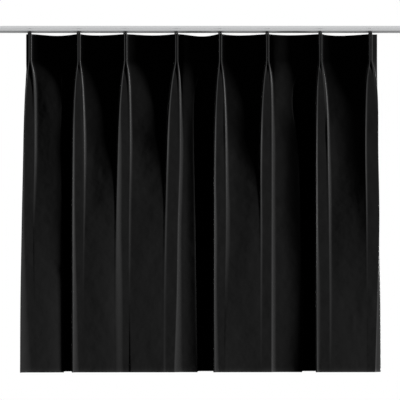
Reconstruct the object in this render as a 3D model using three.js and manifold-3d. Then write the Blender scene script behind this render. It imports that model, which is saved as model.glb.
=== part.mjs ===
// A curtain panel of black velvet with double pinch pleats, and the slim rail it hangs from.
// Millimetres. Origin at the middle of the rail's top face, +X along the rail to the right,
// -Y towards the room, +Z up.
import * as THREE from 'three';
import { mergeVertices } from 'three/addons/utils/BufferGeometryUtils.js';
import Module from 'manifold-3d';

const wasm = await Module();
wasm.setup();

// Rail: an extruded channel with a slot along its underside and both lower corners cut back.
const RAIL_LENGTH = 1200;
const RAIL_HEIGHT = 20;
const RAIL_DEPTH = 16;
const RAIL_WALL = 1.3;
const RAIL_SLOT = 3.6;
const BEVEL_HEIGHT = 5.7;
const BEVEL_DEPTH = 4.4;
const BEAD_DROP = 7.1;
const BEAD_WIDTH = 1.4;
const BEAD_PROUD = 0.35;

// Glider: a head that rides inside the channel, a neck through the slot, and a plate with an eye.
const GAP = 0.3;
const HEAD = [8, 5.6, 3.4];
const NECK = [4, 2.6];
const NECK_BITE = 0.5;
const PLATE = [9, 2, 9];
const PLATE_DROP = 21;
const EYE = [5, 3.4];
const EYE_DROP = 24.4;

// Hook: a flat strip bent over the eye's lower bar, its stem down the back of a pleat.
const HOOK_WIDTH = 3.6;
const HOOK_THICK = 1.6;
const HOOK_INNER_R = 1.35;
const HOOK_BEND_DROP = 27.9;
const HOOK_STEM_END = 62;
const HOOK_TAIL_END = 34;
const HOOK_ARC_STEPS = 10;

// Cloth.
const CLOTH_THICK = 1.5;
const CLOTH_BACK = 4.3;
const PINCH_END = 103;
const PITCH = 5.5;
const LEFT_FINGER = 25.5;
const RIGHT_FINGER = 24;
const TIP_R = 1.7;
const FOOT_R = 3;
const EDGE_AT_TIP = 18.7;
const EDGE_AT_BASE = 23.5;
const EDGE_AT_SIDES = 24.3;
const SIDE_LEFT = -495.3;
const SIDE_RIGHT = 504.5;
// How fast the face between two ridges comes out and deepens, and the steepest that cloth leaves
// a ridge.
const FACE_OPENING = 6;
const FACE_DEEPENS = 2;
const STEEPEST = 80;
// Below the pinch the two ridges of a pleat are placed at four heights, and everything else,
// which changes faster, is given at six. Both are drops below the rail's top.
const RIDGE_DROPS = [325, 567, 781, 986];
const FOLD_DROPS = [211, 325, 450, 567, 781, 986];

// One row per pleat. at: its centre at the heading; open: how fast its left and right ridge
// spread below the pinch. left and right: its two ridges, from that centre. out: how far its left
// ridge stands out; step and wide: how far, and over what width, the cloth drops back right of the
// left ridge (L) and right of the right ridge (R); soft: how rounded the left ridge is.
const PLEATS = [
  { at: -484.8, open: [95, 45], left: [-18.0, -21.5, -24.5, -25.5], right: [15.0, 11.0, 13.0, 18.0],
    out: [21, 31, 33, 36, 42, 43],
    stepL: [1, 2, 3, 4, 7, 10], wideL: [4.5, 5, 6, 8, 19, 33],
    stepR: [7, 7, 2, 0, 0, 0], wideR: [7, 8, 8, 5, 5, 5] },
  { at: -345.6, open: [95, 90], left: [-16.8, -16.8, -16.4, -16.4], right: [16.5, 14.5, 11.6, 11.6],
    out: [28, 37, 40, 42.5, 42, 39],
    stepL: [4, 9, 10, 11, 11, 11], wideL: [4, 6, 7, 8, 13, 18],
    stepR: [10, 10, 3, 1, 0, 0], wideR: [5, 7, 6, 5, 5, 5] },
  { at: -212.9, open: [120, 55], left: [-22.5, -25.0, -26.0, -24.0], right: [14.0, 11.0, 10.5, 12.0],
    out: [25, 30, 35, 33.5, 30, 27], soft: [0, 0, 0.2, 0.4, 0.9, 1],
    stepL: [3.5, 9, 11, 10, 6, 3], wideL: [5, 11, 14, 15, 20, 18],
    stepR: [8, 8, 3, 2, 0, -1], wideR: [5, 7, 7, 7, 6, 5] },
  { at: -67.5, open: [115, 55], left: [-28.5, -31.5, -35.0, -36.0], right: [10.5, 4.5, 1.0, -6.0],
    out: [25, 26, 27, 24.5, 24, 25],
    stepL: [3, 7, 4, 3, 1, 1], wideL: [5, 6, 6, 6, 8, 8],
    stepR: [9, 9, 9, 9, 10, 10], wideR: [6, 9, 10, 9, 14, 24] },
  { at: 57.0, open: [115, 90], left: [-17.5, -17.0, -17.0, -16.5], right: [16.8, 17.0, 13.8, 10.0],
    out: [26.5, 24, 28, 25.5, 25.2, 26],
    stepL: [3, 7, 8.5, 9.5, 8, 8], wideL: [5, 6, 6, 9, 9, 14],
    stepR: [9, 10, 7, 5, 0, 0], wideR: [5, 7, 9, 13, 8, 5] },
  { at: 191.2, open: [105, 50], left: [-20.0, -18.5, -19.0, -19.0], right: [13.2, 12.8, 12.4, 12.2],
    out: [26.5, 19, 19, 14, 17.7, 16],
    stepL: [3, 7, 4, 3, 1, 0], wideL: [5, 6, 5, 6, 6, 6],
    stepR: [7, 9, 9, 9, 9, 9], wideR: [6, 9, 9, 11, 13, 13] },
  { at: 342.0, open: [55, 90], left: [-11.0, -11.0, -11.0, -10.0], right: [23.0, 25.5, 27.0, 27.0],
    out: [32, 21.5, 24.5, 19.5, 21, 22],
    stepL: [4, 7.5, 9.5, 10.5, 6.5, 5.5], wideL: [4, 4, 5, 6, 12, 8],
    stepR: [7, 9, 8, 4, 2, 0], wideR: [5, 7, 9, 8, 8, 6] },
  { at: 484.5, open: [48, 45], left: [-14.0, -11.0, -10.0, -10.0], right: [22.5, 25.5, 20.0, 14.0],
    out: [32, 17, 18, 12.5, 12, 13],
    stepL: [4, 5, 4, 1.5, 0, 0], wideL: [5, 5, 5, 5, 5, 5],
    stepR: [14, 14, 14, 14, 14, 18], wideR: [-3, -3, -3, -1, 8, 15] },
];
// One row per stretch of cloth between two pleats. bow and late: how far it swells at the
// heading and how late that starts; sag and low: how far its top edge dips and where.
// bulge: how far it stands in front of a straight line between the two ridges, a third and two
// thirds of the way along. Where a fold runs back instead, rise: how far the cloth comes out again
// by the fold's lip, and swell: the share of that by halfway; gap and deep: the fold's width and depth.
const VALLEYS = [
  { bow: 3, late: 1.0, sag: 4.8, low: 0.57,
    rise: [8, 6.5, 5, 3.5, -3, -5], swell: [0.62, 0.6, 0.5, 0.4, 0.2, 0.2],
    gap: [30, 32, 31, 30, 28, 28], deep: [25, 55, 65, 70, 78, 80] },
  { bow: 3, late: 1.0, sag: 3.7, low: 0.40,
    bulge: [[0, -1.2, -0.8, 0.4, 1, 0.4], [0, -0.8, 0, 0.5, 1.5, 0.6]] },
  { bow: 3, late: 1.0, sag: 3.7, low: 0.55,
    bulge: [[0, -1.5, -1.2, 0, 0.2, 0], [0, -0.8, -1.2, 0, 0.4, 0]] },
  { bow: 8, late: 0.5, sag: 6.6, low: 0.60,
    rise: [3.5, 3.5, 3.2, 3, 2.6, 2.4], swell: [0.35, 0.12, 0.12, 0.12, 0.15, 0.2],
    gap: [60, 58, 56, 54, 51, 48], deep: [25, 50, 64, 70, 76, 80] },
  { bow: 3, late: 1.0, sag: 3.7, low: 0.42,
    bulge: [[0, -2, -1.3, -0.4, 0.2, -0.6], [0, -1.5, -1, 0, 0.5, -0.6]] },
  { bow: 7, late: 0.6, sag: 3.4, low: 0.42,
    rise: [4, 5.5, 5.5, 5.5, 2.5, 3.5], swell: [0.35, 0.12, 0.15, 0.2, 0.25, 0.3],
    gap: [70, 54, 47, 44, 38, 42], deep: [25, 50, 64, 70, 76, 80] },
  { bow: 3, late: 1.0, sag: 4.6, low: 0.38,
    bulge: [[-1, -2.5, -2, -0.3, 0, 0.5], [-1, -2.5, -1.8, -0.6, -0.2, 0.6]] },
];
const BOW_END = 2;
const FLAT_CUTS = [0, 0.3, 0.6, 0.8, 0.92, 1];
// Where there is no fold, the cloth runs from one pleat to the next in a shallow hollow.
const HOLLOW_CUTS = [0.22, 0.45, 0.65, 0.82, 0.94];
// A fold's lip, its round back and the side that comes out to the next pleat.
const LIP_TO_BACK = { x: -4, deep: 0.8 };
const BACK_TO_SIDE = { x: 8, deep: 0.85 };
const SIDE_OF_RIDGE = { x: -2, back: 12 };
// The cloth's two side edges turn back behind the first and the last ridge.
const FIRST_TURN = [{ x: 14, back: 30 }, { x: 2, back: 12 }];
const LAST_TURN = { x: 1, back: 16, open: 120 };

// Rows of the mesh, as drops below the rail's top; the first is the top edge, sloped.
const ROWS = [60, 103, 110, 120, 135, 150, 185, 225, 280, 345, 420, 510, 610, 720, 850, 986];
// Stretches of cloth across a pleat, each with the fractions along it where the mesh has a column,
// and how those fractions map to a fraction of the finger's own outline.
const FACE_SHARE = 0.6;
const STRETCHES = {
  up: { at: [0, 0.093, 0.7225, 1], along: (u) => 1 - (1 - u) ** 2 },
  over: { at: [0, 0.447, 1], along: (u) => 1 - (1 - FACE_SHARE) * u ** 2 },
  down: { at: [0, 0.852, 1], along: (u) => FACE_SHARE * (1 - u) },
  upAgain: { at: [0, 0.0456, 0.38, 0.7172, 1], along: (u) => 1 - (1 - u) ** 2 },
  fall: { at: [0, 0.277, 0.6, 0.907, 1], along: (u) => 1 - u ** 2 },
  flat: { at: [0, 0.5, 1] },
  straight: { at: [0, 1] },
};
const WALLED = ['up', 'over', 'down', 'upAgain', 'fall'];

function bodyMaterial(colour, roughness, metalness) {
  return new THREE.MeshStandardMaterial({ color: colour, roughness, metalness });
}

function closedGeometry(positions, index) {
  const geometry = new THREE.BufferGeometry();
  geometry.setAttribute('position', new THREE.Float32BufferAttribute(positions, 3));
  geometry.setIndex(index);
  return geometry;
}

// Points closer than this are one point.
const WELD_REACH = 1e-4;

function weld(geometry) {
  geometry.deleteAttribute('normal');
  geometry.deleteAttribute('uv');
  return mergeVertices(geometry, WELD_REACH);
}

// A closed outline in Y and Z, extruded along X and centred on it.
function alongX(outline, length) {
  const shape = new THREE.Shape(outline.map(([y, z]) => new THREE.Vector2(y, z)));
  const geometry = new THREE.ExtrudeGeometry(shape, { depth: length, bevelEnabled: false });
  geometry.translate(0, 0, -length / 2);
  const turn = new THREE.Matrix4().makeBasis(
    new THREE.Vector3(0, 1, 0),
    new THREE.Vector3(0, 0, 1),
    new THREE.Vector3(1, 0, 0),
  );
  geometry.applyMatrix4(turn);
  return weld(geometry);
}

function railGeometry() {
  const half = RAIL_DEPTH / 2;
  const slot = RAIL_SLOT / 2;
  const shoulder = RAIL_HEIGHT - BEVEL_HEIGHT;
  const slant = Math.hypot(BEVEL_HEIGHT, BEVEL_DEPTH);
  // The bevel's inner face lies one wall inside its outer face.
  const innerY = half - RAIL_WALL * (BEVEL_HEIGHT / slant);
  const innerDrop = shoulder - RAIL_WALL * (BEVEL_DEPTH / slant);
  const slope = BEVEL_HEIGHT / BEVEL_DEPTH;
  const sideDrop = innerDrop + (innerY - (half - RAIL_WALL)) * slope;
  const floorY = innerY - (RAIL_HEIGHT - RAIL_WALL - innerDrop) / slope;
  const rear = [
    [slot, -RAIL_HEIGHT],
    [half - BEVEL_DEPTH, -RAIL_HEIGHT],
    [half, -shoulder],
    [half, 0],
  ];
  const front = [
    [-half, 0],
    [-half, -(BEAD_DROP - BEAD_WIDTH / 2)],
    [-half - BEAD_PROUD, -BEAD_DROP],
    [-half, -(BEAD_DROP + BEAD_WIDTH / 2)],
    [-half, -shoulder],
    [-half + BEVEL_DEPTH, -RAIL_HEIGHT],
    [-slot, -RAIL_HEIGHT],
  ];
  const channel = [
    [-slot, -RAIL_HEIGHT + RAIL_WALL],
    [-floorY, -RAIL_HEIGHT + RAIL_WALL],
    [-half + RAIL_WALL, -sideDrop],
    [-half + RAIL_WALL, -RAIL_WALL],
    [half - RAIL_WALL, -RAIL_WALL],
    [half - RAIL_WALL, -sideDrop],
    [floorY, -RAIL_HEIGHT + RAIL_WALL],
    [slot, -RAIL_HEIGHT + RAIL_WALL],
  ];
  return alongX([...rear, ...front, ...channel], RAIL_LENGTH);
}

function solid(geometry) {
  const welded = weld(geometry);
  const triVerts = new Uint32Array(welded.index.array);
  const vertProperties = new Float32Array(welded.attributes.position.array);
  return new wasm.Manifold(new wasm.Mesh({ numProp: 3, vertProperties, triVerts }));
}

// A block centred on the glider's axis, its top at the given drop below the rail's top.
function block([x, y, z], drop) {
  const geometry = new THREE.BoxGeometry(x, y, z);
  geometry.translate(0, 0, -drop - z / 2);
  return solid(geometry);
}

function gliderGeometry() {
  const headFoot = RAIL_HEIGHT - RAIL_WALL - GAP;
  const head = block(HEAD, headFoot - HEAD[2]);
  const neckLength = PLATE_DROP - headFoot + 2 * NECK_BITE;
  const neck = block([...NECK, neckLength], headFoot - NECK_BITE);
  const plate = block(PLATE, PLATE_DROP);
  const eye = block([EYE[0], PLATE[1] * 2, EYE[1]], EYE_DROP);
  const mesh = head.add(neck).add(plate).subtract(eye).getMesh();
  const positions = [];
  for (let i = 0; i < mesh.vertProperties.length; i += mesh.numProp) {
    positions.push(mesh.vertProperties[i], mesh.vertProperties[i + 1], mesh.vertProperties[i + 2]);
  }
  return weld(closedGeometry(positions, Array.from(mesh.triVerts)));
}

function hookGeometry() {
  const outer = HOOK_INNER_R + HOOK_THICK;
  const bend = (radius, from, to) => {
    const points = [];
    for (let k = 0; k <= HOOK_ARC_STEPS; k += 1) {
      const angle = from + ((to - from) * k) / HOOK_ARC_STEPS;
      points.push([radius * Math.cos(angle), -HOOK_BEND_DROP + radius * Math.sin(angle)]);
    }
    return points;
  };
  const outline = [
    [-HOOK_INNER_R, -HOOK_STEM_END],
    ...bend(HOOK_INNER_R, Math.PI, 0),
    [HOOK_INNER_R, -HOOK_TAIL_END],
    [outer, -HOOK_TAIL_END],
    ...bend(outer, 0, Math.PI),
    [-outer, -HOOK_STEM_END],
  ];
  return alongX(outline, HOOK_WIDTH);
}

// A value given at some heights, run smoothly between them and level above the first.
function smooth(values, drop) {
  const drops = values.length === RIDGE_DROPS.length ? RIDGE_DROPS : FOLD_DROPS;
  const last = drops.length - 1;
  const t = Math.min(Math.max(drop, drops[0]), drops[last]);
  let k = 0;
  while (k < last - 1 && t >= drops[k + 1]) {
    k += 1;
  }
  const slope = (i) => (values[i + 1] - values[i]) / (drops[i + 1] - drops[i]);
  const rate = (i) => {
    if (i === 0) {
      return 0;
    }
    if (i === last) {
      return slope(last - 1);
    }
    const before = drops[i] - drops[i - 1];
    const after = drops[i + 1] - drops[i];
    return (slope(i) * before + slope(i - 1) * after) / (before + after);
  };
  const h = drops[k + 1] - drops[k];
  return hermite((t - drops[k]) / h, values[k], values[k + 1], rate(k) * h, rate(k + 1) * h);
}

function hermite(t, from, to, leaving, arriving) {
  const rest = 1 - t;
  return (1 + 2 * t) * rest * rest * from + t * rest * rest * leaving
    + t * t * (3 - 2 * t) * to - t * t * rest * arriving;
}

// One finger's outline from its foot to its tip: foot arc, straight side, tip arc.
function finger(t, foot, reach) {
  const footArc = (foot * Math.PI) / 2;
  const side = reach - foot - TIP_R;
  const tipArc = (TIP_R * Math.PI) / 2;
  const s = t * (footArc + side + tipArc);
  const f = Math.min(s / footArc, 1) * (Math.PI / 2);
  const g = Math.max((s - footArc - side) / tipArc, 0) * (Math.PI / 2);
  const straight = Math.min(Math.max(s - footArc, 0), side);
  return {
    x: -(TIP_R + foot) + foot * Math.sin(f) + TIP_R * (1 - Math.cos(g)),
    out: foot * (1 - Math.cos(f)) + straight + TIP_R * Math.sin(g),
  };
}

// The cloth's stretches from its left side to its right side.
function stretches() {
  const list = [];
  const inner = PITCH / 2 - TIP_R;
  const base = PITCH / 2 + TIP_R + FOOT_R;
  PLEATS.forEach((pleat, i) => {
    const l = pleat.at - PITCH / 2;
    const r = pleat.at + PITCH / 2;
    const start = pleat.at + base;
    if (i === 0) {
      list.push({ kind: 'straight', from: SIDE_LEFT, to: pleat.at - base });
    }
    list.push({ kind: 'up', tip: l, side: 1, foot: FOOT_R, reach: LEFT_FINGER });
    list.push({ kind: 'over', tip: l, side: -1, foot: inner, reach: LEFT_FINGER, face: true });
    list.push({ kind: 'down', tip: l, side: -1, foot: inner, reach: LEFT_FINGER, face: true });
    list.push({ kind: 'upAgain', tip: r, side: 1, foot: inner, reach: RIGHT_FINGER, face: true });
    list.push({ kind: 'fall', tip: r, side: -1, foot: FOOT_R, reach: RIGHT_FINGER });
    if (i === PLEATS.length - 1) {
      list.push({ kind: 'straight', from: start, to: SIDE_RIGHT });
      return;
    }
    const width = PLEATS[i + 1].at - base - start;
    for (let k = 0; k < FLAT_CUTS.length - 1; k += 1) {
      const cut = [FLAT_CUTS[k], FLAT_CUTS[k + 1]];
      const [from, to] = cut.map((f) => start + width * f);
      const kind = k === 0 ? 'straight' : 'flat';
      list.push({ kind, from, to, cut, valley: VALLEYS[i] });
    }
  });
  return list;
}

// The heading, pinched: where a point u along a stretch lies, and how far down its top edge is.
function pinched(stretch, u) {
  if (WALLED.includes(stretch.kind)) {
    const along = STRETCHES[stretch.kind].along(u);
    const point = finger(along, stretch.foot, stretch.reach);
    const edge = EDGE_AT_BASE - (EDGE_AT_BASE - EDGE_AT_TIP) * (point.out / stretch.reach);
    return { x: stretch.tip + stretch.side * point.x, out: point.out, edge };
  }
  const x = stretch.from + (stretch.to - stretch.from) * u;
  if (!stretch.valley) {
    return { x, out: 0, edge: EDGE_AT_SIDES };
  }
  const { bow, late, sag, low } = stretch.valley;
  const f = stretch.cut[0] + (stretch.cut[1] - stretch.cut[0]) * u;
  const peak = (late / (late + BOW_END)) ** (1 / BOW_END);
  const most = peak ** late * (1 - peak ** BOW_END);
  const dip = Math.sin(Math.PI * f ** (Math.log(0.5) / Math.log(low)));
  return {
    x,
    out: (bow / most) * f ** late * (1 - f ** BOW_END),
    edge: EDGE_AT_BASE + sag * dip,
  };
}

// The cubic bulge that is early at one third of the way, late at two thirds and nought at the ends.
const BULGE_AT = [1 / 3, 2 / 3];
const BULGE_SCALE = 27 / 2;

function bulgeAt(f, early, late) {
  const [third, twoThirds] = BULGE_AT;
  return BULGE_SCALE * f * (1 - f) * (early * (twoThirds - f) + late * (f - third));
}

// The free folds at one height: the ends of the stretches. Each has how far it has opened from the
// pinched heading, and the names of the ways in which the cloth arrives there and leaves.
function freeFolds(drop) {
  const ends = [];
  const below = Math.max(drop - PINCH_END, 0);
  const add = (x, out, opening, arrive = 'mean', leave = 'mean', soft = 0) => {
    ends.push({ x, out, opened: 1 - Math.exp(-below / opening), arrive, leave, soft });
  };
  const now = PLEATS.map((pleat) => {
    const left = pleat.at + smooth(pleat.left, drop);
    const right = pleat.at + smooth(pleat.right, drop);
    const out = smooth(pleat.out, drop);
    const face = out - smooth(pleat.stepL, drop);
    return {
      left,
      right,
      out,
      face,
      foot: left + smooth(pleat.wideL, drop),
      start: right + smooth(pleat.wideR, drop),
      shoulder: face - smooth(pleat.stepR, drop),
      soft: pleat.soft ? smooth(pleat.soft, drop) : 0,
      open: pleat.open,
    };
  });
  FIRST_TURN.forEach(({ x, back }) => add(now[0].left + x, now[0].out - back, now[0].open[0]));
  now.forEach(({ left, right, out, face, foot, start, shoulder, soft, open }, i) => {
    add(left, out, open[0], 'before', 'steep', soft);
    add(foot, face, open[0], 'level', 'level');
    add((foot + right) / 2, face, (open[0] + open[1]) / 2);
    add(right, face, open[1], 'level', 'steep');
    if (i === now.length - 1) {
      add(start, shoulder, open[1]);
      add(start + LAST_TURN.x, shoulder - LAST_TURN.back, LAST_TURN.open);
      return;
    }
    add(start, shoulder, open[1], 'after', 'after');
    const next = now[i + 1];
    const { bulge, rise, swell, gap, deep } = VALLEYS[i];
    if (bulge) {
      const [early, late] = bulge.map((values) => smooth(values, drop));
      HOLLOW_CUTS.forEach((f) => {
        const stands = shoulder + (next.out - shoulder) * f + bulgeAt(f, early, late);
        add(start + (next.left - start) * f, stands, open[1] + (next.open[0] - open[1]) * f);
      });
      return;
    }
    const lip = next.left - smooth(gap, drop);
    const lipOut = shoulder + smooth(rise, drop);
    const depth = smooth(deep, drop);
    const midOut = shoulder + smooth(swell, drop) * (lipOut - shoulder);
    add((start + lip) / 2, midOut, open[1]);
    add(lip, lipOut, open[1], 'before', 'after');
    add(lip + LIP_TO_BACK.x, lipOut - LIP_TO_BACK.deep * depth, open[1]);
    add(next.left + BACK_TO_SIDE.x, lipOut - BACK_TO_SIDE.deep * depth, next.open[0]);
    add(next.left + SIDE_OF_RIDGE.x, next.out - SIDE_OF_RIDGE.back, next.open[0]);
  });
  return ends;
}

function unit(x, out) {
  const size = Math.hypot(x, out) || 1;
  return { x: x / size, out: out / size };
}

// The directions in which the cloth arrives at and leaves each end, and the chords' lengths. A
// steep one starts at twice the angle of the stretch that follows, so that it runs out level.
function directions(ends) {
  const chords = ends.slice(1).map((end, k) => {
    const x = end.x - ends[k].x;
    const out = end.out - ends[k].out;
    return { ...unit(x, out), length: Math.hypot(x, out) };
  });
  const most = (STEEPEST * Math.PI) / 180;
  const ways = ends.map((end, k) => {
    const before = chords[Math.max(k - 1, 0)];
    const after = chords[Math.min(k, chords.length - 1)];
    const fall = Math.min(Math.max(2 * Math.atan2(-after.out, after.x), -most), most);
    const named = {
      mean: unit(before.x + after.x, before.out + after.out),
      before,
      after,
      level: { x: 1, out: 0 },
      steep: { x: Math.cos(fall), out: -Math.sin(fall) },
    };
    const soften = ({ x, out }) => unit(
      x * (1 - end.soft) + named.mean.x * end.soft,
      out * (1 - end.soft) + named.mean.out * end.soft,
    );
    return { arrive: soften(named[end.arrive]), leave: soften(named[end.leave]) };
  });
  return { chords, ways };
}

// The cloth's middle line at one height, as a list of x and out.
function middleLine(list, drop) {
  const ends = freeFolds(drop);
  const { chords, ways } = directions(ends);
  const faceOpened = 1 - Math.exp(-Math.max(drop - PINCH_END, 0) / FACE_OPENING);
  const line = [];
  list.forEach((stretch, k) => {
    const a = ends[k];
    const b = ends[k + 1];
    const { leave } = ways[k];
    const { arrive } = ways[k + 1];
    const { length } = chords[k];
    STRETCHES[stretch.kind].at.forEach((u, j) => {
      if (j === 0 && k > 0) {
        return;
      }
      const top = pinched(stretch, u);
      const x = hermite(u, a.x, b.x, leave.x * length, arrive.x * length);
      const out = hermite(u, a.out, b.out, leave.out * length, arrive.out * length);
      const opened = a.opened * (1 - u) + b.opened * u;
      let come = opened;
      if (stretch.face) {
        const below = Math.sqrt(Math.max(1 - (top.out / stretch.reach) ** 2, 0));
        const depth = Math.min(FACE_DEEPENS * below, 1);
        come = opened + (Math.max(faceOpened, opened) - opened) * depth;
      }
      line.push({
        x: top.x * (1 - opened) + x * opened,
        out: top.out * (1 - come) + out * come,
        edge: top.edge,
      });
    });
  });
  return line;
}

// The same line moved half the cloth's thickness to one side. Sharp corners are cut short.
const CORNER_LIMIT = 0.7;

function besides(line, shift) {
  const normals = line.slice(1).map((point, k) => {
    const dx = point.x - line[k].x;
    const dout = point.out - line[k].out;
    const size = Math.hypot(dx, dout);
    return { x: -dout / size, out: dx / size };
  });
  return line.map((point, k) => {
    const a = normals[Math.max(k - 1, 0)];
    const b = normals[Math.min(k, normals.length - 1)];
    const sum = Math.hypot(a.x + b.x, a.out + b.out);
    const reach = shift / Math.max(sum / 2, CORNER_LIMIT);
    return {
      x: point.x + ((a.x + b.x) / sum) * reach,
      out: point.out + ((a.out + b.out) / sum) * reach,
      edge: point.edge,
    };
  });
}

function curtainGeometry() {
  const list = stretches();
  const positions = [];
  const sides = [CLOTH_THICK / 2, -CLOTH_THICK / 2];
  let columns = 0;
  ROWS.forEach((drop, row) => {
    const line = middleLine(list, drop);
    columns = line.length;
    sides.forEach((shift) => {
      besides(line, shift).forEach((point) => {
        const height = row === 0 ? -point.edge : -drop;
        positions.push(point.x, -(CLOTH_BACK + point.out), height);
      });
    });
  });
  const at = (row, side, column) => (row * 2 + side) * columns + column;
  const index = [];
  const quad = (a, b, c, d) => index.push(a, b, c, a, c, d);
  const lastRow = ROWS.length - 1;
  const lastColumn = columns - 1;
  for (let row = 0; row < lastRow; row += 1) {
    for (let c = 0; c < lastColumn; c += 1) {
      quad(at(row, 0, c), at(row + 1, 0, c), at(row + 1, 0, c + 1), at(row, 0, c + 1));
      quad(at(row, 1, c), at(row, 1, c + 1), at(row + 1, 1, c + 1), at(row + 1, 1, c));
    }
    quad(at(row, 1, 0), at(row + 1, 1, 0), at(row + 1, 0, 0), at(row, 0, 0));
    const right = [at(row, 0, lastColumn), at(row + 1, 0, lastColumn)];
    quad(right[0], right[1], at(row + 1, 1, lastColumn), at(row, 1, lastColumn));
  }
  for (let c = 0; c < lastColumn; c += 1) {
    quad(at(0, 1, c), at(0, 0, c), at(0, 0, c + 1), at(0, 1, c + 1));
    quad(at(lastRow, 0, c), at(lastRow, 1, c), at(lastRow, 1, c + 1), at(lastRow, 0, c + 1));
  }
  return closedGeometry(positions, index);
}

function piece(name, geometry, material, x = 0) {
  const placed = geometry.clone().translate(x, 0, 0);
  const mesh = new THREE.Mesh(placed, material);
  mesh.name = name;
  return mesh;
}

const part = new THREE.Group();
part.add(piece('rail', railGeometry(), bodyMaterial(0xc4c5c6, 0.35, 1)));
part.add(piece('curtain', curtainGeometry(), bodyMaterial(0x141415, 0.95, 0)));
const glider = gliderGeometry();
const hook = hookGeometry();
PLEATS.forEach((pleat, i) => {
  part.add(piece(`glider_${i + 1}`, glider, bodyMaterial(0xe6e6e2, 0.5, 0), pleat.at));
  part.add(piece(`hook_${i + 1}`, hook, bodyMaterial(0xb9bbbd, 0.35, 1), pleat.at));
});

export default part;
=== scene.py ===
import math

import bpy
import numpy as np
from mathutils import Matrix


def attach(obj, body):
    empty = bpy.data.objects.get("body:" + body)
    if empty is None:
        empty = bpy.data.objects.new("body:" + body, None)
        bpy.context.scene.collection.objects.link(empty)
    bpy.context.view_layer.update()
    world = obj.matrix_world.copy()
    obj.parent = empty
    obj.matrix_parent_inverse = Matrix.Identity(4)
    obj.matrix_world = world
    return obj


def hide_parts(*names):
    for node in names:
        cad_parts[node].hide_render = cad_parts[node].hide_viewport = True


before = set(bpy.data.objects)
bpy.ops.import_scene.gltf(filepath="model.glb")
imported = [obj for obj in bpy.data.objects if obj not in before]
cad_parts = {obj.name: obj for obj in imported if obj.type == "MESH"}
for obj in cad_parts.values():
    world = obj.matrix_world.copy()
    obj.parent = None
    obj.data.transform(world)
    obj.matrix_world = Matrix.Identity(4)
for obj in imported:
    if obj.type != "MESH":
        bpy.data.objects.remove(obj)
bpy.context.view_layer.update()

# The curtain: one length of black velvet, woven of cotton with a short upright pile, gathered
# into eight double pinch pleats by hand stitches at their feet. Below the stitches it hangs free.
# Sizes here are millimetres: drop is down from the rail's top, out is forward from the cloth's back.
MM = 0.001
CLOTH_THICK = 1.5
CLOTH_BACK = 4.3
PINCH_END = 103
HEM = 986
PITCH = 5.5
LEFT_FINGER = 25.5
RIGHT_FINGER = 24
TIP_R = 1.7
FOOT_R = 3
EDGE_AT_TIP = 18.7
EDGE_AT_BASE = 23.5
EDGE_AT_SIDES = 24.3
SIDE_LEFT = -495.3
SIDE_RIGHT = 504.5
# How fast the face between two ridges comes out, and how fast it deepens below their tips.
FACE_OPENING = 6
FACE_DEEPENS = 2
RIDGE_DROPS = [325, 567, 781, 986]
FOLD_DROPS = [211, 325, 450, 567, 781, 986]
# The steepest that the cloth leaves a ridge, in degrees, and a length that guards a division.
STEEPEST = 80
NO_LENGTH = 1e-9

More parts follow.
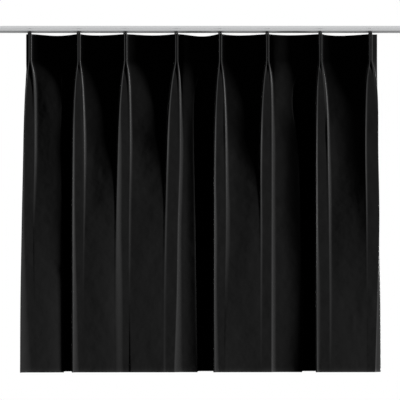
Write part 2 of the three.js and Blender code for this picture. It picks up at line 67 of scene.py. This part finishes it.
# One row per pleat. at: its centre at the heading; open: how fast its left and right ridge spread
# below the pinch. left and right: its two ridges at four heights, from that centre. The rest at six
# heights, out: how far its left ridge stands out; step and wide: how far, and over what width, the
# cloth drops back right of the left ridge (_l) and right of the right ridge (_r); soft: how rounded
# the left ridge is, from 0 for sharp to 1.
PLEATS = [
    dict(at=-484.8, open=(95, 45), left=[-18.0, -21.5, -24.5, -25.5], right=[15.0, 11.0, 13.0, 18.0],
         out=[21, 31, 33, 36, 44.5, 46.5],
         step_l=[1, 2, 3, 4, 7, 10], wide_l=[4.5, 5, 6, 8, 19, 33],
         step_r=[7, 7, 2, 0, 0, 0], wide_r=[7, 8, 8, 5, 5, 5]),
    dict(at=-345.6, open=(95, 90), left=[-16.8, -16.8, -16.4, -16.4], right=[16.5, 14.5, 11.6, 11.6],
         out=[28, 37, 40, 42.5, 42, 39],
         step_l=[4, 9, 10, 11, 11, 11], wide_l=[4, 6, 7, 8, 13, 18],
         step_r=[10, 10, 3, 1, 0, 0], wide_r=[5, 7, 6, 5, 5, 5]),
    dict(at=-212.9, open=(120, 55), left=[-22.5, -25.0, -26.0, -24.0], right=[14.0, 11.0, 10.5, 12.0],
         out=[25, 30, 35, 33.5, 30, 27], soft=[0, 0, 0.2, 0.4, 0.9, 1],
         step_l=[3.5, 9, 11, 10, 6, 3], wide_l=[5, 11, 14, 15, 20, 18],
         step_r=[8, 8, 3, 2, 0, -1], wide_r=[5, 7, 7, 7, 6, 5]),
    dict(at=-67.5, open=(115, 55), left=[-28.5, -31.5, -35.0, -36.0], right=[10.5, 4.5, 1.0, -6.0],
         out=[25, 26, 27, 24.5, 24, 25],
         step_l=[3, 7, 4, 3, 1, 1], wide_l=[5, 6, 6, 6, 8, 8],
         step_r=[9, 8, 8, 8, 9.5, 10], wide_r=[6, 10, 11, 11, 15, 24]),
    dict(at=57.0, open=(115, 90), left=[-17.5, -17.0, -17.0, -16.5], right=[16.8, 17.0, 13.8, 10.0],
         out=[26.5, 24, 28, 25.5, 25.2, 26],
         step_l=[3, 7, 8.5, 9.5, 8, 8], wide_l=[5, 6, 6, 9, 9, 14],
         step_r=[9, 10, 7, 5, 0, 0], wide_r=[5, 7, 9, 13, 8, 5]),
    dict(at=191.2, open=(105, 50), left=[-20.0, -18.5, -19.0, -19.0], right=[13.2, 12.8, 12.4, 12.2],
         out=[26.5, 19, 19, 14, 17.7, 16],
         step_l=[3, 7, 4, 3, 1, 0], wide_l=[5, 6, 5, 6, 6, 6],
         step_r=[7, 8, 7.5, 7.5, 8, 8.5], wide_r=[6, 11, 11, 12, 13, 13]),
    dict(at=342.0, open=(55, 90), left=[-11.0, -11.0, -11.0, -10.0], right=[23.0, 25.5, 27.0, 27.0],
         out=[31, 20, 23, 18.2, 20.5, 21.5],
         step_l=[4, 7.5, 9.5, 10.5, 6.5, 5.5], wide_l=[4, 4, 5, 6, 12, 8],
         step_r=[7, 9, 8, 4, 2, 0], wide_r=[5, 7, 9, 8, 8, 6]),
    dict(at=484.5, open=(48, 45), left=[-14.0, -11.0, -10.0, -10.0], right=[22.5, 25.5, 20.0, 14.0],
         out=[31, 15.5, 16.5, 11.5, 11.5, 12.5],
         step_l=[4, 5, 4, 1.5, 0, 0], wide_l=[5, 5, 5, 5, 5, 5],
         step_r=[14, 14, 14, 14, 14, 18], wide_r=[-3, -3, -3, -1, 8, 15]),
]
# One row per stretch of cloth between two pleats. bow and late: how far it swells at the
# heading and how late that starts; sag and low: how far its top edge dips and where.
# bulge: how far it stands in front of a straight line between the two ridges, a third and two
# thirds of the way along. Where a fold runs back instead, rise: how far the cloth comes out again
# by the fold's lip, and swell: the share of that by halfway; gap and deep: the fold's width and depth.
VALLEYS = [
    dict(bow=3, late=1.0, sag=4.8, low=0.57,
         rise=[8, 6.5, 5, 3.5, -3, -5], swell=[0.62, 0.6, 0.5, 0.4, 0.2, 0.2],
         gap=[30, 32, 30, 28, 26, 25], deep=[25, 55, 65, 70, 78, 80]),
    dict(bow=3, late=1.0, sag=3.7, low=0.40,
         bulge=([0, -1.2, -0.8, 0.4, 1, 0.4], [0, -0.8, 0, 0.5, 1.5, 0.6])),
    dict(bow=3, late=1.0, sag=3.7, low=0.55,
         bulge=([0, -1.5, -1.2, 0, 0.2, 0], [0, -0.8, -1.2, 0, 0.4, 0])),
    dict(bow=8, late=0.5, sag=6.6, low=0.60,
         rise=[1.5, 2, 2.4, 2.4, 2.2, 2], swell=[0.35, 0.12, 0.12, 0.12, 0.15, 0.2],
         gap=[60, 58, 56, 54, 51, 48], deep=[25, 50, 64, 70, 76, 80]),
    dict(bow=3, late=1.0, sag=3.7, low=0.42,
         bulge=([0, -2, -1.3, -0.4, 0.2, -0.6], [0, -1.5, -1, 0, 0.5, -0.6])),
    dict(bow=7, late=0.6, sag=3.4, low=0.42,
         rise=[1.5, 4.5, 5.5, 5, 2.5, 3.5], swell=[0.35, 0.25, 0.2, 0.2, 0.25, 0.3],
         gap=[70, 54, 47, 44, 38, 42], deep=[25, 50, 64, 70, 76, 80]),
    dict(bow=3, late=1.0, sag=4.6, low=0.38,
         bulge=([-1, -2.5, -2, -0.3, 0, 0.5], [-1, -2.5, -1.8, -0.6, -0.2, 0.6])),
]
BOW_END = 2
FLAT_CUTS = [0, 0.3, 0.6, 0.8, 0.92, 1]
HOLLOW_CUTS = [0.22, 0.45, 0.65, 0.82, 0.94]
BULGE_AT = (1 / 3, 2 / 3)
BULGE_SCALE = 27 / 2
# A deep fold's lip, its round back and the side that comes out to the next pleat.
LIP_TO_BACK = dict(x=-4, deep=0.8)
BACK_TO_SIDE = dict(x=8, deep=0.85)
SIDE_OF_RIDGE = dict(x=-2, back=12)
# The cloth's two side edges turn back behind the first and the last ridge.
FIRST_TURN = [dict(x=14, back=30), dict(x=2, back=12)]
LAST_TURN = dict(x=1, back=16, open=120)

# Mesh columns along each kind of stretch, and how they map to a fraction of the finger's outline.
COLUMNS = dict(up=14, over=11, down=7, up_again=13, fall=13, flat=8)
FACE_SHARE = 0.6
ALONG = dict(
    up=lambda u: 1 - (1 - u) ** 2,
    over=lambda u: 1 - (1 - FACE_SHARE) * u ** 2,
    down=lambda u: FACE_SHARE * (1 - u),
    up_again=lambda u: 1 - (1 - u) ** 2,
    fall=lambda u: 1 - u ** 2,
)
# The mesh's rows lie closer where the pleats open and further apart towards the hem.
ROW_COUNT = 64
ROW_CROWDING = 1.7
# Soft creases, listed one a row: start and end of its line as x and drop, how far it fades
# to each side, and how far it stands out (a trough is less than nought).
CREASES = [
    dict(start=(436, 832), end=(506, 776), wide=7, high=1.1),
    dict(start=(400, 700), end=(470, 742), wide=12, high=0.8),
    dict(start=(-150, 700), end=(-112, 640), wide=10, high=-0.7),
    dict(start=(100, 560), end=(150, 610), wide=11, high=0.8),
    dict(start=(-300, 800), end=(-262, 770), wide=10, high=0.7),
    dict(start=(-440, 640), end=(-400, 700), wide=11, high=-0.7),
    dict(start=(92, 900), end=(150, 872), wide=12, high=-0.7),
]


def run_between(values, drops):
    """A value given at four or six heights, run between them by cubic curves, level at the top."""
    values = np.asarray(values, float)
    given = np.asarray(RIDGE_DROPS if len(values) == len(RIDGE_DROPS) else FOLD_DROPS, float)
    t = np.clip(drops, given[0], given[-1])
    k = np.clip(np.searchsorted(given, t, side="right") - 1, 0, len(given) - 2)
    rates = np.gradient(values, given)
    rates[0] = 0.0
    step = given[k + 1] - given[k]
    return hermite((t - given[k]) / step, values[k], values[k + 1], step * rates[k], step * rates[k + 1])


def hermite(t, start, end, leaving, arriving):
    """The cubic curve from start to end with the given directions at its two ends."""
    rest = 1 - t
    return ((1 + 2 * t) * rest ** 2 * start + t * rest ** 2 * leaving
            + t ** 2 * (3 - 2 * t) * end - t ** 2 * rest * arriving)


def finger(t, foot, reach):
    """One pleat finger from its foot to its tip: a quarter circle, a straight side, a quarter circle."""
    foot_arc = foot * math.pi / 2
    side = reach - foot - TIP_R
    tip_arc = TIP_R * math.pi / 2
    s = t * (foot_arc + side + tip_arc)
    f = np.clip(s / foot_arc, 0, 1) * math.pi / 2
    g = np.clip((s - foot_arc - side) / tip_arc, 0, 1) * math.pi / 2
    x = -(TIP_R + foot) + foot * np.sin(f) + TIP_R * (1 - np.cos(g))
    out = foot * (1 - np.cos(f)) + np.clip(s - foot_arc, 0, side) + TIP_R * np.sin(g)
    return x, out


def stretches():
    """The cloth's stretches from its left side to its right side: five to a pleat, five between."""
    inner = PITCH / 2 - TIP_R
    base = PITCH / 2 + TIP_R + FOOT_R
    found = [dict(kind="flat", ends=(SIDE_LEFT, PLEATS[0]["at"] - base), valley=None)]
    for i, pleat in enumerate(PLEATS):
        left = pleat["at"] - PITCH / 2
        right = pleat["at"] + PITCH / 2
        found += [
            dict(kind="up", tip=left, side=1, foot=FOOT_R, reach=LEFT_FINGER),
            dict(kind="over", tip=left, side=-1, foot=inner, reach=LEFT_FINGER, face=True),
            dict(kind="down", tip=left, side=-1, foot=inner, reach=LEFT_FINGER, face=True),
            dict(kind="up_again", tip=right, side=1, foot=inner, reach=RIGHT_FINGER, face=True),
            dict(kind="fall", tip=right, side=-1, foot=FOOT_R, reach=RIGHT_FINGER),
        ]
        start = pleat["at"] + base
        if i == len(PLEATS) - 1:
            found.append(dict(kind="flat", ends=(start, SIDE_RIGHT), valley=None))
            continue
        width = PLEATS[i + 1]["at"] - base - start
        for cut in zip(FLAT_CUTS, FLAT_CUTS[1:]):
            ends = tuple(start + width * f for f in cut)
            found.append(dict(kind="flat", ends=ends, valley=VALLEYS[i], cut=cut))
    return found


def pinched(stretch, u):
    """The heading: where a fraction u along a stretch lies, and how far down its top edge is.

    Pleats follow their fingers' outlines. Flats swell forward as one power of the way along less
    a higher one, and their top edge dips as a bent sine.
    """
    if stretch["kind"] != "flat":
        x, out = finger(ALONG[stretch["kind"]](u), stretch["foot"], stretch["reach"])
        edge = EDGE_AT_BASE - (EDGE_AT_BASE - EDGE_AT_TIP) * out / stretch["reach"]
        return stretch["tip"] + stretch["side"] * x, out, edge
    first, last = stretch["ends"]
    x = first + (last - first) * u
    if stretch["valley"] is None:
        return x, 0 * u, EDGE_AT_SIDES + 0 * u
    valley = stretch["valley"]
    f = stretch["cut"][0] + (stretch["cut"][1] - stretch["cut"][0]) * u
    peak = (valley["late"] / (valley["late"] + BOW_END)) ** (1 / BOW_END)
    most = peak ** valley["late"] * (1 - peak ** BOW_END)
    out = valley["bow"] / most * f ** valley["late"] * (1 - f ** BOW_END)
    dip = np.sin(math.pi * f ** (math.log(0.5) / math.log(valley["low"])))
    return x, out, EDGE_AT_BASE + valley["sag"] * dip


def free_folds(drops):
    """The free folds at each height: where the stretches end, and how the cloth runs there.

    Each end is an x, an out, how far it has opened from the pinched heading, and how the cloth
    arrives there and leaves: halfway between its neighbours' directions unless it is named.
    """
    below = np.clip(drops - PINCH_END, 0, None)
    ends = []

    def add(x, out, opening, arrive="mean", leave="mean", soft=0):
        opened = 1 - np.exp(-below / opening)
        ends.append(dict(x=x + 0 * drops, out=out + 0 * drops, opened=opened,
                         arrive=arrive, leave=leave, soft=soft + 0 * drops))

    at_height = [
        {key: run_between(pleat[key], drops)
         for key in ("left", "right", "out", "step_l", "wide_l", "step_r", "wide_r")}
        for pleat in PLEATS
    ]
    for turn in FIRST_TURN:
        left = PLEATS[0]["at"] + at_height[0]["left"]
        add(left + turn["x"], at_height[0]["out"] - turn["back"], PLEATS[0]["open"][0])
    for i, (pleat, now) in enumerate(zip(PLEATS, at_height)):
        open_left, open_right = pleat["open"]
        left, right = pleat["at"] + now["left"], pleat["at"] + now["right"]
        foot = left + now["wide_l"]
        face = now["out"] - now["step_l"]
        start, shoulder = right + now["wide_r"], face - now["step_r"]
        soft = run_between(pleat.get("soft", [0] * len(FOLD_DROPS)), drops)
        add(left, now["out"], open_left, "before", "steep", soft)
        add(foot, face, open_left, "level", "level")
        add((foot + right) / 2, face, (open_left + open_right) / 2)
        add(right, face, open_right, "level", "steep")
        if i == len(PLEATS) - 1:
            add(start, shoulder, open_right)
            add(start + LAST_TURN["x"], shoulder - LAST_TURN["back"], LAST_TURN["open"])
            break
        add(start, shoulder, open_right, "after", "after")
        following, valley = PLEATS[i + 1], VALLEYS[i]
        next_left, next_out = following["at"] + at_height[i + 1]["left"], at_height[i + 1]["out"]
        open_next = following["open"][0]
        if "bulge" in valley:
            early, late = (run_between(values, drops) for values in valley["bulge"])
            for f in HOLLOW_CUTS:
                third, two_thirds = BULGE_AT
                bulge = BULGE_SCALE * f * (1 - f) * (early * (two_thirds - f) + late * (f - third))
                add(start + (next_left - start) * f, shoulder + (next_out - shoulder) * f + bulge,
                    open_right + (open_next - open_right) * f)
            continue
        rise, swell, gap, deep = (run_between(valley[key], drops)
                                   for key in ("rise", "swell", "gap", "deep"))
        lip, lip_out = next_left - gap, shoulder + rise
        add((start + lip) / 2, shoulder + swell * rise, open_right)
        add(lip, lip_out, open_right, "before", "after")
        add(lip + LIP_TO_BACK["x"], lip_out - LIP_TO_BACK["deep"] * deep, open_right)
        add(next_left + BACK_TO_SIDE["x"], lip_out - BACK_TO_SIDE["deep"] * deep, open_next)
        add(next_left + SIDE_OF_RIDGE["x"], next_out - SIDE_OF_RIDGE["back"], open_next)
    return ends


def directions(ends):
    """The unit directions in which the cloth arrives at and leaves each end, and the chords' lengths.

    A steep one starts at twice the angle of the stretch that follows, so that it runs out level.
    """
    line = np.stack([[end["x"] for end in ends], [end["out"] for end in ends]])
    chords = np.diff(line, axis=1)
    length = np.hypot(*chords)
    chords = chords / length
    before = np.concatenate([chords[:, :1], chords], axis=1)
    after = np.concatenate([chords, chords[:, -1:]], axis=1)
    fall = np.radians(np.clip(np.degrees(2 * np.arctan2(-after[1], after[0])), -STEEPEST, STEEPEST))
    mean = (before + after) / (np.hypot(*(before + after)) + NO_LENGTH)
    level = np.stack([np.ones_like(fall), np.zeros_like(fall)])
    ways = dict(mean=mean, before=before, after=after, level=level,
                steep=np.stack([np.cos(fall), -np.sin(fall)]))
    soft = np.stack([end["soft"] for end in ends])
    both = []
    for side in ("arrive", "leave"):
        way = np.stack([ways[end[side]][:, k] for k, end in enumerate(ends)], axis=1)
        way = way * (1 - soft) + mean * soft
        both.append(way / (np.hypot(*way) + NO_LENGTH))
    return both[0], both[1], length


def cloth_surface(drops):
    """The cloth's middle surface on a grid, as x, out and its top edge, a row for each drop.

    Each stretch is a cubic curve between its two ends. The heading gives way to the free folds as
    one minus an exponential of the drop below the pinch, sooner on the face between two ridges.
    """
    ends = free_folds(drops)
    arriving, leaving, length = directions(ends)
    below = np.clip(drops - PINCH_END, 0, None)[:, None]
    face_opened = 1 - np.exp(-below / FACE_OPENING)
    columns = []
    listed = stretches()
    for k, stretch in enumerate(listed):
        a, b = ends[k], ends[k + 1]
        u = np.linspace(0, 1, COLUMNS[stretch["kind"]] + 1)
        if k < len(listed) - 1:
            u = u[:-1]
        top_x, top_out, edge = pinched(stretch, u)
        x, out = (
            hermite(u[None, :], a[axis][:, None], b[axis][:, None],
                    (length[k] * leaving[i, k])[:, None], (length[k] * arriving[i, k + 1])[:, None])
            for i, axis in enumerate(("x", "out"))
        )
        opened = a["opened"][:, None] * (1 - u) + b["opened"][:, None] * u
        come = opened
        if stretch.get("face"):
            below_tip = np.sqrt(np.clip(1 - (top_out / stretch["reach"]) ** 2, 0, 1))
            depth = np.minimum(FACE_DEEPENS * below_tip, 1)
            come = opened + (np.maximum(face_opened, opened) - opened) * depth
        columns.append(np.stack([
            top_x * (1 - opened) + x * opened,
            top_out * (1 - come) + out * come,
            edge + 0 * x,
        ]))
    return np.concatenate(columns, axis=2)


def crease_height(x, drop):
    """How far the creases stand out at a point: each a bell curve of the distance from its line."""
    high = 0 * x
    for crease in CREASES:
        start, end = np.array(crease["start"], float), np.array(crease["end"], float)
        run = end - start
        share = ((x - start[0]) * run[0] + (drop - start[1]) * run[1]) / (run @ run)
        share = np.clip(share, 0, 1)
        away = np.hypot(x - start[0] - share * run[0], drop - start[1] - share * run[1])
        high = high + crease["high"] * np.exp(-(away / crease["wide"]) ** 2)
    return high


def closed_sheet(name, front, back, uv):
    """A mesh of two grids of points facing away from each other, closed round their rims."""
    rows, columns = front.shape[:2]
    at = np.arange(rows * columns).reshape(rows, columns)
    quads = np.stack([at[:-1, :-1], at[1:, :-1], at[1:, 1:], at[:-1, 1:]], axis=-1).reshape(-1, 4)
    rim = np.concatenate([at[:, 0], at[-1, 1:], at[-2::-1, -1], at[0, -2:0:-1]])
    after = np.roll(rim, -1)
    far = rows * columns
    walls = np.stack([rim, rim + far, after + far, after], axis=-1)
    faces = np.concatenate([quads, quads[:, ::-1] + far, walls])
    mesh = bpy.data.meshes.new(name)
    mesh.from_pydata(np.concatenate([front, back]).reshape(-1, 3), [], faces)
    layer = mesh.uv_layers.new(name="cloth")
    both = np.concatenate([uv, uv]).reshape(-1, 2)
    layer.data.foreach_set("uv", both[faces.ravel()].astype(np.float32).ravel())
    mesh.polygons.foreach_set("use_smooth", np.ones(len(faces), bool))
    mesh.validate()
    piece = bpy.data.objects.new(name, mesh)
    bpy.context.scene.collection.objects.link(piece)
    return piece


way_down = np.linspace(0, 1, ROW_COUNT)
drops = EDGE_AT_SIDES + (HEM - EDGE_AT_SIDES) * way_down ** ROW_CROWDING
line_x, line_out, edge = cloth_surface(drops)
# The heading's rows start at its own uneven top edge and are level again by the pinch.
level = np.clip((PINCH_END - drops) / (PINCH_END - drops[0]), 0, 1)[:, None]
down = drops[:, None] + (edge - EDGE_AT_SIDES) * level
line_out = line_out + crease_height(line_x, drops[:, None] + 0 * line_x)
along = np.hypot(np.gradient(line_x, axis=1), np.gradient(line_out, axis=1))
normal_x = -np.gradient(line_out, axis=1) / along
normal_out = np.gradient(line_x, axis=1) / along
layers = []
for shift in (CLOTH_THICK / 2, -CLOTH_THICK / 2):
    x = line_x + normal_x * shift
    out = line_out + normal_out * shift
    layers.append(np.stack([x, -(CLOTH_BACK + out), -down], axis=-1) * MM)
heading_arc = np.concatenate([[0], np.cumsum(np.hypot(np.diff(line_x[0]), np.diff(line_out[0])))])
uv = np.stack([heading_arc[None, :] + 0 * down, -down], axis=-1) * MM
curtain = closed_sheet("curtain_velvet", layers[0], layers[1], uv)


def linear(code):
    """An sRGB hex colour as linear red, green, blue and an alpha of 1."""
    parts = [int(code[i:i + 2], 16) / 255 for i in (1, 3, 5)]
    return [p / 12.92 if p <= 0.04045 else ((p + 0.055) / 1.055) ** 2.4 for p in parts] + [1.0]


def add_node(owner, kind, settings=(), links=()):
    """Adds a node, sets its properties and sockets, and links its inputs to other nodes' outputs."""
    tree = owner.node_tree
    made = tree.nodes.new(kind)
    for name, value in dict(settings).items():
        if name in made.inputs:
            made.inputs[name].default_value = value
        else:
            setattr(made, name, value)
    for name, source in dict(links).items():
        tree.links.new(source, made.inputs[name])
    return made


# Cotton velvet, pile cut and dyed black: almost no light comes back from its face, a faint sheen
# where it is seen edge on, and faint cloudy patches where the pile leans.
VELVET = "#171717"
VELVET_SHEEN = "#ffffff"
PATCH_MM = 42
PATCH_LEAN_MM = 1.4
velvet = bpy.data.materials.new("cotton_velvet_cut_pile")
velvet.use_nodes = True
surface = velvet.node_tree.nodes["Principled BSDF"]
for socket, value in {
    "Base Color": linear(VELVET), "Roughness": 1.0, "Specular IOR Level": 0.0,
    "Sheen Weight": 1.0, "Sheen Roughness": 0.3, "Sheen Tint": linear(VELVET_SHEEN),
}.items():
    surface.inputs[socket].default_value = value
place = add_node(velvet, "ShaderNodeTexCoord")
patches = add_node(velvet, "ShaderNodeTexNoise",
                   {"Scale": 1 / (PATCH_MM * MM), "Detail": 2.0, "Roughness": 0.45},
                   {"Vector": place.outputs["Object"]})
leaning = add_node(velvet, "ShaderNodeBump", {"Strength": 1.0, "Distance": PATCH_LEAN_MM * MM},
                   {"Height": patches.outputs[0]})
velvet.node_tree.links.new(leaning.outputs["Normal"], surface.inputs["Normal"])
curtain.data.materials.append(velvet)
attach(curtain, "root")
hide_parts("curtain")

# The rail: a slim extruded aluminium channel, satin anodised in its natural colour.
# It is screwed to a ceiling through its top wall. Its colour is painted darker towards the foot of its
# face and darkest on its cut-back lower corner: painted shade, and a painted reflection of the dark
# cloth that the corner looks down at, which the plain light here doesn't give.
ALUMINIUM = "#c8c9ca"
RAIL_HEIGHT = 20
RAIL_PAINTED_SHADE = [
    dict(place="face, top", drop=3, share=0.95),
    dict(place="face, foot", drop=13.5, share=0.75),
    dict(place="corner, top", drop=15, share=0.35),
    dict(place="corner, foot", drop=20, share=0.5),
]
aluminium = bpy.data.materials.new("anodised_aluminium_satin")
aluminium.use_nodes = True
surface = aluminium.node_tree.nodes["Principled BSDF"]
surface.inputs["Metallic"].default_value = 1.0
surface.inputs["Roughness"].default_value = 0.35
place = add_node(aluminium, "ShaderNodeTexCoord")
apart = add_node(aluminium, "ShaderNodeSeparateXYZ", {}, {"Vector": place.outputs["Object"]})
fall = add_node(aluminium, "ShaderNodeMapRange", {"From Min": 0.0, "From Max": -RAIL_HEIGHT * MM},
                {"Value": apart.outputs["Z"]})
# This ramp paints shade and a reflection of the dark cloth into the rail's colour, darker downwards.
painted_shade_ramp = add_node(aluminium, "ShaderNodeValToRGB", {}, {"Fac": fall.outputs[0]})
for number, painted_stop in enumerate(RAIL_PAINTED_SHADE):
    stops = painted_shade_ramp.color_ramp.elements
    stop = stops[number] if number < 2 else stops.new(painted_stop["drop"] / RAIL_HEIGHT)
    stop.position = painted_stop["drop"] / RAIL_HEIGHT
    stop.color = [part * painted_stop["share"] for part in linear(ALUMINIUM)[:3]] + [1.0]
aluminium.node_tree.links.new(painted_shade_ramp.outputs["Color"], surface.inputs["Base Color"])
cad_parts["rail"].data.materials.clear()
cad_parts["rail"].data.materials.append(aluminium)

# The gliders: one small piece of nylon behind each pleat, injection moulded in off-white, which
# keeps a slight gloss. It is slid into the rail from its end.
NYLON = "#e6e6e2"
nylon = bpy.data.materials.new("moulded_nylon_off_white")
nylon.use_nodes = True
surface = nylon.node_tree.nodes["Principled BSDF"]
surface.inputs["Base Color"].default_value = linear(NYLON)
surface.inputs["Roughness"].default_value = 0.45

# The hooks: a strip of steel punched and bent, zinc plated, which gives a cool even shine. Each is
# hung in a glider's eye and runs down the back of its pleat.
ZINC = "#b9bbbd"
zinc = bpy.data.materials.new("zinc_plated_steel")
zinc.use_nodes = True
surface = zinc.node_tree.nodes["Principled BSDF"]
surface.inputs["Base Color"].default_value = linear(ZINC)
surface.inputs["Metallic"].default_value = 1.0
surface.inputs["Roughness"].default_value = 0.38
for number in range(len(PLEATS)):
    for name, finish in ((f"glider_{number + 1}", nylon), (f"hook_{number + 1}", zinc)):
        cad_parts[name].data.materials.clear()
        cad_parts[name].data.materials.append(finish)

# Camera: straight in front, far off and level with the cloth's middle, as in the photograph.
WIDE = 1.14
FAR = 12.0
LEVEL = -0.496
SENSOR_MM = 36
CLIP_END = 100
camera = bpy.data.objects.new("camera", bpy.data.cameras.new("camera"))
camera.data.sensor_width = SENSOR_MM
camera.data.lens = SENSOR_MM * FAR / WIDE
camera.data.clip_end = CLIP_END
camera.location = (0, -FAR, LEVEL)
camera.rotation_euler = (math.pi / 2, 0, 0)
bpy.context.scene.collection.objects.link(camera)
bpy.context.scene.camera = camera

# Light: one small soft key from the right, almost along the cloth, and a weak one from behind. The
# white studio is seen by the camera and in reflections, and barely lights the cloth.
STUDIO_ON_CLOTH = 0.02
bpy.context.scene.view_settings.view_transform = "Standard"


def sun(name, azimuth, height, strength, size):
    """A sun that shines from an azimuth (0 in front, 90 to the right) and a height, in degrees."""
    light = bpy.data.objects.new(name, bpy.data.lights.new(name, "SUN"))
    light.data.energy = strength
    light.data.angle = math.radians(size)
    light.rotation_euler = (math.radians(90 - height), 0, math.radians(azimuth))
    bpy.context.scene.collection.objects.link(light)


sun("key", 80, 3, 15.5, 5)
sun("back", 160, 20, 3.0, 20)
world = bpy.data.worlds.new("studio")
bpy.context.scene.world = world
world.use_nodes = True
background = world.node_tree.nodes["Background"]
path = add_node(world, "ShaderNodeLightPath")
seen = add_node(world, "ShaderNodeMath", {"operation": "MAXIMUM"})
world.node_tree.links.new(path.outputs["Is Camera Ray"], seen.inputs[0])
world.node_tree.links.new(path.outputs["Is Glossy Ray"], seen.inputs[1])
shade = add_node(world, "ShaderNodeMapRange", {"To Min": STUDIO_ON_CLOTH, "To Max": 1.0},
                 {"Value": seen.outputs[0]})
world.node_tree.links.new(shade.outputs[0], background.inputs["Strength"])
background.inputs["Color"].default_value = (1, 1, 1, 1)

# Floor: a plain pale disc, below the picture.
FLOOR_RADIUS = 5.4
FLOOR_LEVEL = -1.35
FLOOR_SIDES = 96
FLOOR_PAINT = "#e8e8e8"
FLOOR_GLOW = 0.5
floor_mesh = bpy.data.meshes.new("floor")
angles = np.linspace(0, 2 * math.pi, FLOOR_SIDES, endpoint=False)
ring = np.stack([FLOOR_RADIUS * np.cos(angles), FLOOR_RADIUS * np.sin(angles),
                 FLOOR_LEVEL + 0 * angles], axis=-1)
floor_mesh.from_pydata(ring, [], [list(range(FLOOR_SIDES))])
floor = bpy.data.objects.new("floor", floor_mesh)
bpy.context.scene.collection.objects.link(floor)
floor.visible_diffuse = False
paint = bpy.data.materials.new("floor_paint")
paint.use_nodes = True
surface = paint.node_tree.nodes["Principled BSDF"]
surface.inputs["Base Color"].default_value = linear(FLOOR_PAINT)
surface.inputs["Emission Color"].default_value = (1, 1, 1, 1)
surface.inputs["Emission Strength"].default_value = FLOOR_GLOW
floor.data.materials.append(paint)
